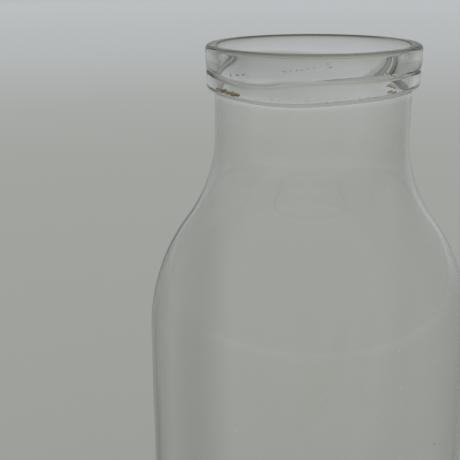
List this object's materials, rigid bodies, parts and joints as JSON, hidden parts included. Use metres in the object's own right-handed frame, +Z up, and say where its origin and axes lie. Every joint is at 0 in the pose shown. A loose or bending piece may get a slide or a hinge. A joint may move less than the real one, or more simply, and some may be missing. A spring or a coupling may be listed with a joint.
{
  "type": "wide-mouth glass bottle",
  "caption": "Empty clear thin-walled glass bottle with a wide open mouth, a tooled two-band collar with a sagging crease, a straight neck, sloping shoulders and a round body.",
  "frame": {"origin": "centre of the flat ring that the bottle stands on", "axes": "+Z up along the bottle's axis, through the mouth; +X to the right and +Y away from someone who faces the side where the crease sags, which is on their left"},
  "size_m": [0.0918, 0.0918, 0.225],
  "materials": {
    "clear_glass": "clear uncoloured soda-lime glass, smooth and glossy, with a faint grey-green tint at its edges and a little brown residue under the collar"
  },
  "bodies": {
    "root": {"glass_bottle": "clear_glass"}
  },
  "joints": []
}
